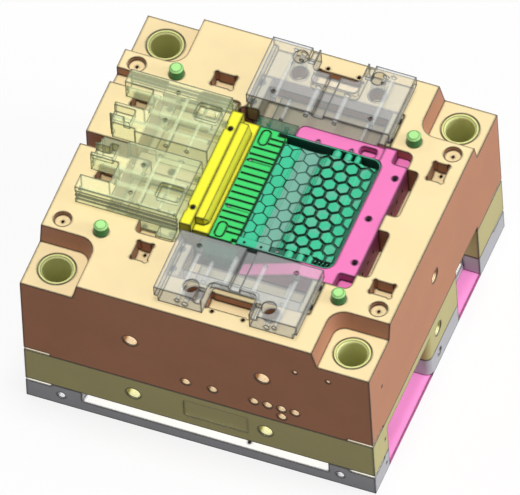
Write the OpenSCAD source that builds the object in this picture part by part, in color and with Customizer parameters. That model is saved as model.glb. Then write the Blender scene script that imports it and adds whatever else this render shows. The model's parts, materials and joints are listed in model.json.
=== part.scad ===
// Moving half of a housing mould: bolster with cores, four slides and the ejector set.
// X runs along the mould, Y to the back, Z up; the origin is the centre of the bottom face.
// Levels called z in the modules are counted from the parting plane, which is Z = top_z.

/* [Plates] */
// Length of every plate along X
plate_l = 1000; // [960:5:1100]
// Width of every plate along Y
plate_w = 950; // [930:5:1050]
// Thickness of the clamp plate
clamp_t = 75; // [70:1:100]
// Thickness of the ejector box plate
box_t = 125; // [115:1:160]
// Thickness of the bolster plate
main_t = 345; // [330:1:400]

/* [Corner recesses and guide bushes] */
// Side of a corner recess at its floor
recess_l = 150; // [145:1:170]
// Depth of a corner recess
recess_d = 55; // [40:1:60]
// How far a recess wall leans back over its depth
recess_draft = 13; // [5:1:16]
// Corner radius of a recess at its floor
recess_r = 34; // [20:1:40]
// Distance of a guide bush from both plate edges
bush_in = 77; // [75:1:82]
// Offset of the bush at the datum corner, so the halves close one way only
bush_offset = 3; // [0:1:5]
// Bore of a guide bush
bush_bore = 80; // [60:1:84]
// Outer diameter of a guide bush
bush_od = 95; // [90:1:97]
// Flange diameter of a guide bush
bush_flange = 103; // [100:1:110]
// Flange thickness of a guide bush
bush_flange_t = 12; // [8:1:20]
// Length of a guide bush
bush_len = 130; // [90:1:180]

/* [Fasteners and lifting] */
// Lifting thread in bolster and ejector box, drawn at its nominal size
lift_d = 42; // [30:1:48]
// Lifting thread in the clamp plate, drawn at its nominal size
clamp_lift_d = 24; // [16:1:30]
// Depth of a lifting thread
lift_depth = 85; // [50:1:90]
// Distance of the front lifting threads from the middle
lift_x = 189; // [150:1:230]
// Distance of the back lifting threads from the middle
lift_back_x = 165; // [150:1:230]
// Distance of the clamp plate's front lifting threads from the middle
clamp_lift_x = 399; // [380:1:420]
// Distance of the clamp plate's back lifting threads from the middle
clamp_lift_back_x = 376; // [370:1:420]
// Height of the bolster's lifting threads over its bottom face
main_lift_h = 171; // [120:1:180]
// Shank of a clamping screw
screw_d = 24; // [16:1:30]
// Head of a clamping screw
screw_head_d = 36; // [32:1:40]
// Distance of the clamping screws from the middle along X
screw_x = 330; // [300:1:360]
// Distance of the clamping screws from the middle along Y
screw_y = 400; // [385:1:410]

/* [Side openings] */
// Depth of the first cut-out in the right face
side_cut_a = 48; // [40:1:60]
// Depth of the second cut-out in the right face
side_cut_b = 60; // [48:1:80]
// Thickness of the insulation board
board_t = 12; // [8:1:20]
// Depth of the slot along the front edge of the clamp plate
front_slot_in = 45; // [30:1:50]
// Height of that slot
front_slot_h = 38; // [25:1:45]
// Height of a prying slot
pry_h = 9; // [5:1:12]
// Length of a prying slot along the edge
pry_l = 74; // [50:1:90]

/* [Ejector set] */
// Clear length of the ejector space along X
space_l = 770; // [760:1:780]
// Distance of the ejector space's long walls from the return pins
space_side = 46; // [42:1:50]
// Hole in the clamp plate for the ejector rod of the press
rod_hole_d = 60; // [50:1:80]
// Thread in the ejector base plate for that rod, drawn at its nominal size
rod_thread_d = 42; // [24:1:48]
// Gap between the ejector plates and the box all round
space_gap = 5; // [2:0.5:8]
// Height of a rest button
rest_h = 5; // [3:1:8]
// Thickness of the ejector base plate
base_t = 30; // [25:1:36]
// Thickness of the ejector retainer plate
retain_t = 25; // [20:1:30]
// Diameter of a return pin
return_d = 40; // [30:1:44]
// How far a return pin stands over the parting plane
return_out = 31; // [10:1:40]
// Distance of the return pins from the middle along X
return_x = 340; // [335:1:345]
// Distance of the return pins from the core pocket along Y
return_gap = 39.5; // [37:0.5:44]
// Diameter of an ejector pin
pin_d = 10; // [8:1:14]
// Head diameter of an ejector pin
pin_head_d = 16; // [15:1:20]
// Diameter of a guide pin of the ejector set
guide_d = 32; // [24:1:40]
// Outer diameter of a bush of the ejector set
guide_bush_d = 46; // [44:1:56]
// Diameter of a support pillar
pillar_d = 50; // [40:1:60]

/* [Core assembly] */
// Length of the pocket for the core assembly along X
core_l = 497; // [490:1:500]
// Width of the pocket for the core assembly along Y
core_w = 479; // [475:1:483]
// Depth of that pocket
core_d = 185; // [170:1:200]
// Thickness of the base of the core insert
core_base_t = 55; // [40:1:70]
// Width of the honeycomb core, the comb core and the gate block along Y
core_part_w = 387; // [381:1:389]
// Length of the gate block along X
gate_l = 76; // [74:1:84]
// Length of the comb core along X
comb_l = 77; // [70:1:84]
// Distance between neighbouring honeycomb cells
cell_pitch = 38.5; // [30:0.5:50]
// Width of the groove between the cells right of the ramps
cell_groove = 6; // [3:0.5:9]
// Width of the groove between the cells of the low field
mid_groove = 3.2; // [2:0.2:5]
// Width of the groove between the cells at the left
fine_groove = 2; // [1.5:0.5:4]
// Depth of the groove between cells
cell_depth = 8; // [6:1:12]
// Distance between the slots of the comb core
slot_pitch = 22.5; // [20:0.5:26]
// Width of a comb slot
slot_w = 4.6; // [2:0.2:7]

/* [Front and back slides] */
// Length of a cross slide along X
cross_l = 410; // [404:1:414]
// Height of a cross slide over the parting plane
cross_h = 55; // [45:1:66]
// Outer end of a cross slide, from the middle
cross_out = 445; // [440:1:446]
// Middle of the cross slides along X
cross_x = 80; // [78:1:82]
// Travel of a cross slide
cross_travel = 28; // [15:1:30]
// Width of the notch in the outer end
notch_w = 135; // [110:1:140]
// Depth of the notch in the outer end
notch_d = 68; // [50:1:70]
// Diameter of an angle pin hole
angle_pin_d = 40; // [30:1:42]
// Lean of an angle pin hole
angle_pin_a = 18; // [12:1:20]
// Depth of the cross slide pockets
cross_pocket_d = 75; // [70:1:85]

/* [Left slides] */
// Height of a left slide over the parting plane
side_h = 66; // [50:1:75]
// Length of a left slide along X
side_l = 292; // [288:1:294]
// Width of a left slide along Y
side_w = 193; // [191:1:195]
// Gap between the two left slides
side_gap = 34; // [30:1:36]
// Length of the arms at the outer end
arm_l = 83; // [70:1:84]
// Width of the outer arm
arm_w = 46; // [40:1:50]
// Travel of a left slide
side_travel = 50; // [30:1:51]
// Depth of the left slide pocket
side_pocket_d = 88; // [84:1:95]

/* [Clearances] */
// Running clearance of a sliding pin on the radius
run_c = 0.05; // [0.03:0.01:0.1]
// Clearance of a slide on its guides
slide_c = 0.3; // [0.2:0.05:0.5]
// Clearance of an ejector pin in the plates on the radius
pin_c = 0.5; // [0.3:0.1:1]
// Clearance between bolted inserts and their pocket
insert_c = 0.2; // [0.1:0.05:0.4]

/* [Hidden] */
$fn = 64;
e = 1;
box_z = clamp_t;
main_z = clamp_t + box_t;
top_z = clamp_t + box_t + main_t;
half_l = plate_l / 2;
half_w = plate_w / 2;

// core assembly, from the right end of its pocket
core_x1 = 355;
core_x0 = core_x1 - core_l;
core_z0 = -core_d;
core_z1 = core_z0 + core_base_t;
core_r = 20;
bar_w = 69;
honey_l = core_l - bar_w - comb_l - gate_l;
honey_x1 = core_x1 - bar_w;
honey_x0 = honey_x1 - honey_l;
comb_x0 = honey_x0 - comb_l;
part_half = core_part_w / 2;
insert_top = -3;
honey_top = -5;
ledge_top = -8;
rim_t = 4;
field_half = part_half - 27;
cell_shift = 7.1;
down_x = 45;
ramp_x = 107;
strip_l = 92;
slot_d = 5;
lump_at = [[honey_l - 129, 28], [honey_l - 97, 24], [honey_l - 70, 18]];
stud_x = [for (x = [53, 42, 31, 20]) honey_x1 - x];
rim_r = 28;
ledge_x0 = honey_x0 + 19;
ledge_r = 22;
corner_step = 31;
gate_top = 26;
gate_bar_w = 36;
bar_len = 337;
gate_screw_x = core_x0 + 11;
gate_screw_y = 139;
strip_x1 = core_x0 + 28;
strip_z0 = -24;

// cross slides
foot_in = 11;
foot_z = 20;
cross_in = core_w / 2 + slide_c;
keel_half = 170;
keel_len = 84;
notch_step_z = 32;
notch_step = 24;
lug = 16;
lug_h = 20;
gib_w = 35;
wear_t = 2.8;
groove_w = 30;
groove_d = 15;
angle_x = 111;
angle_y = 407.5;
gib_screw_x = keel_half + 26;
gib_screw_y = [cross_in + 22, cross_in + 90];

// left slides
side_x1 = core_x0 - 7;
side_x0 = side_x1 - side_l;
side_in = side_gap / 2;
side_out = side_in + side_w;
keel_x0 = side_x1 - 151;
pocket_x0 = keel_x0 - side_travel - 2;
wing_x0 = side_x1 - 51;
wing_out = 243;
shelf_z = -45;
rail_z = -65;
side_lug_h = 20;
rail_half = 40;
side_keel_out = 168;
rail_screw_x = [pocket_x0 + 30, pocket_x0 + 105, pocket_x0 + 180];
left_gib_screw_x = [pocket_x0 + 24, pocket_x0 + 100, pocket_x0 + 180];
left_gib_screw_y = side_keel_out + 27;

// ejector set
base_z = clamp_t + rest_h;
retain_z = base_z + base_t;
retain_top = retain_z + retain_t;
head_t = 8;
return_y = core_w / 2 + return_gap;
space_w = 2 * (return_y + space_side);
guide_x = 350;
guide_y = 130;
guide_seat = 40;
plate_screw_d = 16;
comb_pin_x = honey_x0 - 64;
comb_pin_y = 81.5;
trench_y = field_half + 11.5;
pillar_y = space_w / 2 - 63;
pillar_at = [[-210, 120], [-210, -120], [120, pillar_y], [120, -pillar_y]];
plate_screw_y = space_w / 2 - 35;
plate_screw_at = [[-330, 40], [-60, plate_screw_y], [-60, -plate_screw_y], [330, 40]];
honey_pin_at = [[honey_x0 + 108, trench_y], [honey_x1 - 47, trench_y], [honey_x1 - 23, trench_y],
    [honey_x0 + 112, -trench_y]];
comb_pin_at = [for (s = [-1, 1]) [comb_pin_x, s * comb_pin_y]];
ledge_pin_at = [for (x = [65, 160]) [ledge_x0 + x, part_half + 7]];
pin_at = concat(honey_pin_at, comb_pin_at, ledge_pin_at);
trench_z = honey_top - 45;
floor_z = honey_top - cell_depth;

// cut-outs in the right face: first one a at the back, then b at the front
cut_a_y0 = 138;
cut_a_y1 = 297;
cut_b_y0 = -372;
cut_b_y1 = -68;
cut_r = 18;
side_shelf = 90;
board_l = 200;
box_roof = 32;

// places of pockets and small holes, from the middle of the plate
heel_x1 = 390;
heel_y = 107;
heel_w = 158;
dogbone_at = [[-213, 301, 60, 44], [437, -208, 60, 44], [437, 205, 44, 60], [-213, -305, 44, 60],
    [-390, 165, 60, 44], [-390, -94, 60, 44]];
dogbone_hole_at = [[437, 222], [-213, -288]];
gauge_x = half_l - 48;
gauge_y = 274.5;
cool_x = [-35, 42, 160, 199.5, 239, 278];
cool_z = main_z + 58;
cool_low_z = main_z + 24;
cool_d = 27;
cool_len = 200;
bar_hole_at = [[core_x1 - 20, 149], [core_x1 - 38, 0], [core_x1 - 20, -149]];
bar_head_z = -20;
grip = 18;
core_screw_at = [for (p = [[honey_x0 + 39, 120], [honey_x1 - 46, 120], [comb_x0 + 39, 110],
    [core_x0 + 42, 120]], s = [-1, 1]) [p[0], s * p[1]]];
core_screw_d = 12;
core_screw_head = 18;

bolster_c = [0.99, 0.89, 0.68];
box_c = [0.85, 0.84, 0.62];
clamp_c = [0.8, 0.8, 0.82];
pink_c = [1, 0.53, 0.8];
steel_c = [0.75, 0.76, 0.78];
glass_c = [0.7, 0.74, 0.74, 0.55];
side_c = [0.74, 0.8, 0.62, 0.55];

// a box given by its low and high corners
module block(x0, x1, y0, y1, z0, z1) {
    translate([x0, y0, z0]) cube([x1 - x0, y1 - y0, z1 - z0]);
}

// a box with rounded upright edges
module pad(x0, x1, y0, y1, z0, z1, r) {
    translate([0, 0, z0]) linear_extrude(z1 - z0) rounded(x0, x1, y0, y1, r);
}

module rounded(x0, x1, y0, y1, r) {
    translate([x0 + r, y0]) square([x1 - x0 - 2 * r, y1 - y0]);
    translate([x0, y0 + r]) square([x1 - x0, y1 - y0 - 2 * r]);
    for (x = [x0 + r, x1 - r], y = [y0 + r, y1 - r]) translate([x, y]) circle(r);
}

module drill(x, y, z0, z1, d) {
    translate([x, y, z0]) cylinder(d = d, h = z1 - z0);
}

module at_parting() {
    translate([0, 0, top_z]) children();
}

// repeats its children at the four corners of a rectangle
module at_corners(x, y) {
    for (sx = [-1, 1], sy = [-1, 1]) translate([sx * x, sy * y, 0]) children();
}

// centre of the guide bush in one corner
function bush_pos(sx, sy) = [sx * (half_l - bush_in) + (sx < 0 && sy > 0 ? bush_offset : 0),
    sy * (half_w - bush_in)];

// the volume of a corner recess: two leaning walls and a cone between them
module recess() {
    lean = recess_draft;
    translate([0, 0, -recess_d]) {
        rotate([90, 0, 0]) translate([0, 0, recess_r - recess_l])
            linear_extrude(recess_l - recess_r + e) recess_section(lean);
        rotate([90, 0, 90]) translate([0, 0, -e])
            linear_extrude(recess_l - recess_r + e) recess_section(lean);
        translate([recess_l - recess_r, recess_l - recess_r, 0])
            cylinder(r1 = recess_r, r2 = recess_r + lean, h = recess_d);
        translate([0, 0, recess_d]) block(-e, recess_l + lean - recess_r, -e, recess_l + lean - recess_r, 0, e);
    }
}

module recess_section(lean) {
    polygon([[-e, 0], [recess_l, 0], [recess_l + lean, recess_d], [recess_l + lean, recess_d + e],
        [-e, recess_d + e]]);
}

// a pocket whose corners are relieved by the cutter
module dogbone(l, w, d) {
    relief = 6;
    translate([0, 0, -d]) {
        translate([-l / 2, -w / 2, 0]) cube([l, w, d + e]);
        at_corners(l / 2 - relief / 2, w / 2 - relief / 2) cylinder(r = relief, h = d + e);
    }
}

// a thread drawn as its nominal hole, from the face inwards along +Y
module side_thread(d, depth) {
    rotate([-90, 0, 0]) translate([0, 0, -e]) cylinder(d = d, h = depth + e);
}

// six threads: two in the front face, two in the back face and one in each side face
module lifting_threads(x, back_x, z, d) {
    for (s = [-1, 1]) {
        translate([s * x, -half_w, z]) side_thread(d, lift_depth);
        translate([s * back_x, half_w, z]) rotate([0, 0, 180]) side_thread(d, lift_depth);
        rotate([0, 0, 90]) translate([0, s * half_l, z]) rotate([0, 0, s < 0 ? 0 : 180])
            side_thread(d, lift_depth);
    }
}

// slots for a pry bar at the plate corners, from z up by h
module pry_slots(z, h) {
    at_corners(half_l, half_w) translate([-pry_l, -pry_l, z]) cube([2 * pry_l, 2 * pry_l, h]);
}

// small hole in the right face, near the front corner
module gauge_hole(z) {
    line_x(-392, z, half_l - 25, half_l + e, 8);
}

module clamp_screw_holes(z0, z1, d) {
    for (x = [-screw_x, 0, screw_x], s = [-1, 1]) drill(x, s * screw_y, z0, z1, d);
}

// outline of the two notches in the right face, grown by g
module side_notches(g, depth_a, depth_b) {
    translate([half_l - depth_a, cut_a_y0 - g]) square([depth_a + e, cut_a_y1 - cut_a_y0 + 2 * g]);
    translate([half_l - depth_b, cut_b_y0 - g]) square([depth_b + e, cut_b_y1 - cut_b_y0 + 2 * g]);
    translate([half_l, cut_b_y1 + g - 0.01]) rotate(90) corner_fillet(cut_r);
}

// the sharp corner left when a quarter circle is taken out of a square
module corner_fillet(r) {
    difference() {
        square(r);
        translate([r, r]) circle(r);
    }
}

module board_outline(g) {
    translate([half_l - side_cut_b - board_l, cut_b_y0 - g])
        square([board_l + e, cut_a_y1 - cut_b_y0 + 2 * g]);
    side_notches(g, side_cut_a + 20, side_cut_b + e);
}

module clamp_plate() color(clamp_c) difference() {
    block(-half_l, half_l, -half_w, half_w, 0, clamp_t);
    translate([0, 0, -e]) linear_extrude(board_t + e) board_outline(insert_c);
    translate([0, 0, -e]) linear_extrude(clamp_t + 2 * e) side_notches(0, side_cut_a, side_cut_b);
    pad(half_l - side_shelf, half_l - side_cut_a + e, cut_a_y0, cut_a_y1, clamp_t - front_slot_h,
        clamp_t + e, 10);
    front_slot();
    lifting_threads(clamp_lift_x, clamp_lift_back_x, clamp_t / 2 + 1.5, clamp_lift_d);
    gauge_hole(35);
    pry_slots(clamp_t - pry_h, pry_h + e);
    clamp_screw_holes(-e, screw_head_d * 0.8, screw_head_d + 2);
    clamp_screw_holes(0, clamp_t + e, screw_d + 2);
    at_corners(guide_x, guide_y) drill(0, 0, clamp_t - guide_seat, clamp_t + e, guide_d);
    drill(131, -half_w + front_slot_in / 2, 0, clamp_t - front_slot_h + e, 10);
    drill(0, 0, -e, clamp_t + e, rod_hole_d);
}

// rebate along the front edge, open upwards and forwards
module front_slot() {
    r = 30;
    translate([0, 0, clamp_t - front_slot_h]) linear_extrude(front_slot_h + e) {
        rounded(-339, 366, -half_w - r, -half_w + front_slot_in, r);
    }
}

module insulation_board() color(pink_c) linear_extrude(board_t) intersection() {
    board_outline(0);
    translate([0, -half_w]) square([half_l, plate_w]);
}

module ejector_box() color(box_c) difference() {
    block(-half_l, half_l, -half_w, half_w, box_z, main_z);
    pad(-space_l / 2, space_l / 2, -space_w / 2, space_w / 2, box_z - e, main_z + e, 25);
    translate([0, 0, box_z - e]) linear_extrude(box_t - box_roof + e) side_notches(0, side_cut_a, side_cut_b);
    block(half_l - side_shelf, half_l + e, cut_a_y0, cut_a_y1, box_z - e, main_z + e);
    lifting_threads(lift_x, lift_back_x, box_z + 64, lift_d);
    gauge_hole(box_z + 63);
    clamp_screw_holes(box_z - e, main_z + e, screw_d + 2);
    translate([0, -half_w + 3, 0]) rotate([90, 0, 0]) linear_extrude(4)
        rounded(-45, 138, box_z + 33, box_z + 98, 6);
}

module bolster_plate() color(bolster_c) difference() {
    block(-half_l, half_l, -half_w, half_w, main_z, top_z);
    at_parting() {
        for (sx = [-1, 1], sy = [-1, 1]) translate([sx * half_l, sy * half_w, 0])
            scale([-sx, -sy, 1]) recess();
        core_pocket();
        cross_pocket();
        mirror([0, 1, 0]) cross_pocket();
        side_pocket();
        for (p = dogbone_at) translate([p[0], p[1], 0]) dogbone(p[2], p[3], 40);
        for (p = dogbone_hole_at) drill(p[0], p[1], -60, -39, 8);
        for (s = [-1, 1]) translate([75, s * 396, 0]) dogbone(126, 48, 27);
        at_corners(gauge_x, gauge_y) {
            drill(0, 0, -12.5, e, 48);
            drill(0, 0, -32, 0, 8);
        }
        for (x = [35, 124], s = [-1, 1]) drill(x, s * 430, -25, e, 10);
        for (s = [-1, 1]) pad(core_x1 - 12, heel_x1, s * heel_y - heel_w / 2, s * heel_y + heel_w / 2,
            -90, e, 12);
        block(-half_l - e, pocket_x0 + e, 198, 248, -30, e);
        block(-half_l - e, pocket_x0 + e, -22, 21, -side_pocket_d, e);
        for (p = bar_hole_at) drill(p[0], p[1], core_z0 - grip, core_z0 + e, 10);
        for (sx = [-1, 1], sy = [-1, 1], y = gib_screw_y)
            drill(cross_x + sx * gib_screw_x, sy * y, gib_z() - grip, gib_z() + e, 10);
        for (x = left_gib_screw_x, s = [-1, 1])
            drill(x, s * left_gib_screw_y, rail_z - grip, rail_z + e, 8);
        for (x = rail_screw_x) drill(x, 0, -side_pocket_d - grip, e - side_pocket_d, 12);
    }
    for (sx = [-1, 1], sy = [-1, 1]) translate(bush_pos(sx, sy)) {
        drill(0, 0, top_z - recess_d - bush_flange_t, top_z, bush_flange + 2 * insert_c);
        drill(0, 0, top_z - recess_d - bush_len - e, top_z, bush_od + 2 * run_c);
        drill(0, 0, main_z - e, top_z, bush_bore + 6);
    }
    at_corners(return_x, return_y) drill(0, 0, main_z - e, top_z + e, return_d + 2 * run_c);
    at_corners(guide_x, guide_y) drill(0, 0, main_z - e, main_z + 42, guide_d + 2 * run_c);
    for (p = pin_at) drill(p[0], p[1], main_z - e, top_z - core_d + e, pin_d + 2 * pin_c);
    lifting_threads(lift_x, lift_back_x, main_z + main_lift_h, lift_d);
    gauge_hole(main_z + main_lift_h);
    clamp_screw_holes(main_z - e, main_z + 46, screw_d);
    pry_slots(main_z - e, pry_h + e);
    block(half_l - side_cut_a, half_l + e, cut_a_y0, cut_a_y1, main_z - e, main_z + 17);
    for (x = cool_x) translate([x, -half_w, cool_z]) side_thread(cool_d, 30);
    for (x = cool_x) translate([x, -half_w, cool_z]) side_thread(14, cool_len);
    translate([cool_x[4], -half_w, cool_low_z]) side_thread(cool_d, 30);
    for (x = [285, 380]) translate([x, -half_w, top_z - recess_d - 50]) side_thread(14, 60);
}

module core_pocket() {
    pad(core_x0, core_x1, -core_w / 2, core_w / 2, core_z0, e, core_r);
}

// the pocket under the back slide, with a ledge for each gib
module cross_pocket() {
    y1 = cross_in + keel_len + cross_travel + 2;
    translate([cross_x, 0, 0]) {
        block(-keel_half - gib_w, keel_half + gib_w, core_w / 2 - 5, y1, gib_z(), e);
        block(-keel_half - lug - 1, keel_half + lug + 1, core_w / 2 - 5, y1, -cross_pocket_d, e);
        for (s = [-1, 1]) translate([s * angle_x, angle_y - tan(angle_pin_a) * cross_h, 0])
            drill(0, 0, -45, e, angle_pin_d + 8);
    }
}

// underside of a cross gib, which is the top of the lug below it
function gib_z() = -cross_pocket_d + wear_t + lug_h + slide_c;

module side_pocket() {
    out = rail_out();
    block(pocket_x0, core_x0 + e, -out, out, rail_z, e);
    block(pocket_x0, core_x0 + e, -side_keel_out - lug - 2, side_keel_out + lug + 2, -side_pocket_d, e);
    pad(wing_x0 - side_travel - 6, core_x0, -wing_out - 5, wing_out + 5, shelf_z, e, 12);
}

// outer edge of the left gibs and of the step that they lie on
function rail_out() = side_keel_out + 37;

module guide_bushes() color([0.93, 0.97, 0.62])
    for (sx = [-1, 1], sy = [-1, 1]) translate(bush_pos(sx, sy)) translate([0, 0, top_z - recess_d])
        rotate_extrude($fn = 96) polygon([[bush_bore / 2, -bush_len], [bush_od / 2, -bush_len],
            [bush_od / 2, -bush_flange_t], [bush_flange / 2, -bush_flange_t], [bush_flange / 2, 0],
            [bush_bore / 2 + 4, 0], [bush_bore / 2, -6]]);

// hexagon socket head screw, head down, with its seat at z = 0
module cap_screw(d, head_d, length) {
    head_h = d;
    difference() {
        union() {
            translate([0, 0, -head_h]) cylinder(d = head_d, h = head_h);
            cylinder(d = d, h = length);
        }
        translate([0, 0, -head_h - e]) cylinder(d = d * 0.9, h = head_h * 0.6 + e, $fn = 6);
    }
}

module clamp_screws() color(steel_c)
    for (x = [-screw_x, 0, screw_x], s = [-1, 1]) translate([x, s * screw_y, screw_head_d * 0.8])
        cap_screw(screw_d, screw_head_d, main_z + 40 - screw_head_d * 0.8);

module support_pillars() color(steel_c)
    for (p = pillar_at) drill(p[0], p[1], box_z, main_z, pillar_d);

module rest_buttons() color([0.3, 0.3, 0.32])
    for (x = [-330, 0, 330], s = [-1, 1]) drill(x, s * 200, box_z, box_z + rest_h, 40);

// outline of both ejector plates with the holes that go through both
module ejector_outline() {
    l = space_l / 2 - space_gap;
    w = space_w / 2 - space_gap;
    difference() {
        rounded(-l, l, -w, w, 20);
        for (p = pillar_at) translate(p) circle(d = pillar_d + 4);
        for (sx = [-1, 1], sy = [-1, 1]) translate([sx * guide_x, sy * guide_y]) circle(d = guide_bush_d);
    }
}

module ejector_base_plate() color(steel_c) difference() {
    translate([0, 0, base_z]) linear_extrude(base_t) ejector_outline();
    for (p = plate_screw_at) {
        drill(p[0], p[1], base_z - e, base_z + plate_screw_d, 26);
        drill(p[0], p[1], base_z, retain_z + e, plate_screw_d + 2);
    }
    drill(0, 0, base_z - e, retain_z + e, rod_thread_d);
}

module ejector_retainer() color(steel_c) difference() {
    translate([0, 0, retain_z]) linear_extrude(retain_t) ejector_outline();
    at_corners(return_x, return_y) {
        drill(0, 0, retain_z - e, retain_z + head_t, return_d + 10);
        drill(0, 0, retain_z, retain_top + e, return_d + 2 * insert_c);
    }
    for (p = pin_at) {
        drill(p[0], p[1], retain_z - e, retain_z + head_t, pin_head_d + 2 * insert_c);
        drill(p[0], p[1], retain_z, retain_top + e, pin_d + 2 * insert_c);
    }
    for (p = plate_screw_at) drill(p[0], p[1], retain_z - e, retain_z + 22, plate_screw_d);
}

module ejector_plate_screws() color([0.3, 0.3, 0.32])
    for (p = plate_screw_at) translate([p[0], p[1], base_z + plate_screw_d])
        cap_screw(plate_screw_d, 24, base_t - plate_screw_d + 20);

module ejector_guide_pins() color(steel_c)
    at_corners(guide_x, guide_y) translate([0, 0, clamp_t - guide_seat]) {
        cylinder(d = guide_d, h = guide_seat + box_t + 36);
        translate([0, 0, guide_seat + box_t + 36]) cylinder(d1 = guide_d, d2 = guide_d - 8, h = 4);
    }

module ejector_guide_bushes() color([0.8, 0.62, 0.3])
    at_corners(guide_x, guide_y) translate([0, 0, base_z]) difference() {
        cylinder(d = guide_bush_d, h = base_t + retain_t);
        translate([0, 0, -e]) cylinder(d = guide_d + 2 * run_c, h = base_t + retain_t + 2 * e);
    }

module return_pins() color([0.45, 0.9, 0.45])
    at_corners(return_x, return_y) {
        drill(0, 0, retain_z, retain_z + head_t, return_d + 8);
        drill(0, 0, retain_z, top_z + return_out - 5, return_d);
        translate([0, 0, top_z + return_out - 5]) cylinder(d1 = return_d, d2 = return_d - 10, h = 5);
    }

module ejector_pin(p, tip_z) {
    drill(p[0], p[1], retain_z, retain_z + head_t, pin_head_d);
    drill(p[0], p[1], retain_z, tip_z, pin_d);
}

module ejector_pins() color(steel_c) {
    for (p = honey_pin_at) ejector_pin(p, top_z + (p[1] > 0 ? trench_z : floor_z));
    for (p = comb_pin_at) ejector_pin(p, top_z + honey_top - 4);
    for (p = ledge_pin_at) ejector_pin(p, top_z + ledge_top - 2);
}

// the insert that carries the cores: base, right bar with ears, back and front ledges
module core_insert() color(pink_c) at_parting() difference() {
    y = core_w / 2 - insert_c;
    x1 = core_x1 - insert_c;
    union() {
        pad(core_x0 + insert_c, x1, -y, y, core_z0, core_z1, core_r);
        pad(honey_x1, x1, -y, y, core_z0, insert_top, core_r);
        for (s = [0, 1]) mirror([0, s, 0]) {
            block(honey_x1 - 12, honey_x1 + core_r, part_half, y, core_z0, insert_top);
            translate([honey_x1, part_half]) rotate(180) translate([0, 0, core_z1 - e])
                linear_extrude(insert_top - core_z1 + e) corner_fillet(rim_r);
        }
        difference() {
            block(ledge_x0, honey_x1 - 12, part_half, y, core_z1, ledge_top);
            translate([ledge_x0, y]) rotate(-90) translate([0, 0, core_z1]) linear_extrude(core_d)
                corner_fillet(ledge_r);
        }
        rotate([90, 0, 0]) translate([0, 0, part_half]) linear_extrude(y - part_half)
            polygon([[ledge_x0, core_z1], [ledge_x0, -84], [honey_x1 - 82, insert_top],
                [honey_x1, insert_top], [honey_x1, core_z1]]);
    }
    for (s = [-1, 1]) translate([0, s * (core_w / 2 - 2.5)])
        pad(core_x1 - 47, core_x1 + 12, -43, 43, -corner_step, e, 8);
    pad(honey_x1 - 75, honey_x1 - 29, part_half + 4, part_half + 33, ledge_top - 20, e, 10);
    for (p = ledge_pin_at) drill(p[0], p[1], core_z1 - e, e, pin_d + 2 * run_c);
    for (p = bar_hole_at) {
        drill(p[0], p[1], bar_head_z, e, 16);
        drill(p[0], p[1], core_z0 - e, 0, 11);
    }
    for (s = [-1, 1], t = [-40, 0, 40]) translate([core_x1 - 40, s * 107 + t, -48]) rotate([0, 90, 0])
        cylinder(d = 9, h = 50);
    for (p = pin_at) drill(p[0], p[1], core_z0 - e, core_z1 + e, pin_d + 2 * pin_c);
    for (p = core_screw_at) {
        drill(p[0], p[1], core_z0 - e, core_z0 + core_screw_d + 2, core_screw_head + 2);
        drill(p[0], p[1], core_z0, core_z1 + e, core_screw_d + 1);
    }
}

module insert_screws() color([0.3, 0.3, 0.32]) at_parting()
    for (p = bar_hole_at) translate([p[0], p[1], bar_head_z]) mirror([0, 0, 1])
        cap_screw(10, 15.5, core_d + bar_head_z + grip);

// screws that hold the cores down, from under the core insert
module core_screws() color([0.3, 0.3, 0.32]) at_parting()
    for (p = core_screw_at) translate([p[0], p[1], core_z0 + core_screw_d + 2])
        cap_screw(core_screw_d, core_screw_head, core_base_t - core_screw_d - 2 + grip);

module core_screw_holes(z, d) {
    for (p = core_screw_at) drill(p[0], p[1], z, core_z1 + grip, d);
}

// one raised cell of the honeycomb, from z0 to z1
module cell(r, z0, z1) {
    translate([0, 0, z0]) rotate(30) cylinder(r = r, h = z1 - z0, $fn = 6);
}

module honeycomb_core() color([0.25, 0.82, 0.6]) at_parting() {
    row = cell_pitch * sqrt(3) / 2;
    difference() {
        union() {
            translate([0, 0, core_z1]) linear_extrude(trench_z - core_z1) honey_outline(0);
            translate([0, 0, trench_z - e]) linear_extrude(floor_z - trench_z + e) intersection() {
                honey_outline(0);
                translate([honey_x0, -part_half]) square([honey_l, part_half + field_half]);
            }
            honey_rim();
            honey_front_strip();
            for (p = lump_at, s = [-1, 1]) lump(honey_x0 + p[0], s, p[1]);
            intersection() {
                honey_profile(field_half);
                for (j = [-5 : 5], i = [-1 : honey_l / cell_pitch]) {
                    along = 11.5 + cell_pitch * (i + (j % 2 == 0 ? 0 : 0.5));
                    translate([honey_x0 + along, cell_shift + row * j, 0])
                        cell((cell_pitch - groove_at(along)) / sqrt(3), floor_z - e, e);
                }
            }
        }
        stud_pocket();
        for (p = honey_pin_at) drill(p[0], p[1], core_z1 - e, e, pin_d + 2 * run_c);
        core_screw_holes(core_z1 - e, core_screw_d);
    }
    for (x = stud_x) drill(x, -field_half - 11, floor_z - 11, honey_top - 2, 6);
}

// width of the groove round a cell whose centre lies at this distance from the left end
function groove_at(along) = along < down_x + 17 ? fine_groove : along < ramp_x ? mid_groove : cell_groove;

// outline of the honeycomb core, taken in by g: the right corners are round, the left ones square
module honey_outline(g) {
    y = part_half - insert_c - g;
    far = 3 * rim_r;
    intersection() {
        rounded(honey_x0 - far, honey_x1 - g, -y, y, rim_r - g);
        translate([honey_x0 - g, -y]) square([honey_l, 2 * y]);
    }
}

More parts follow.
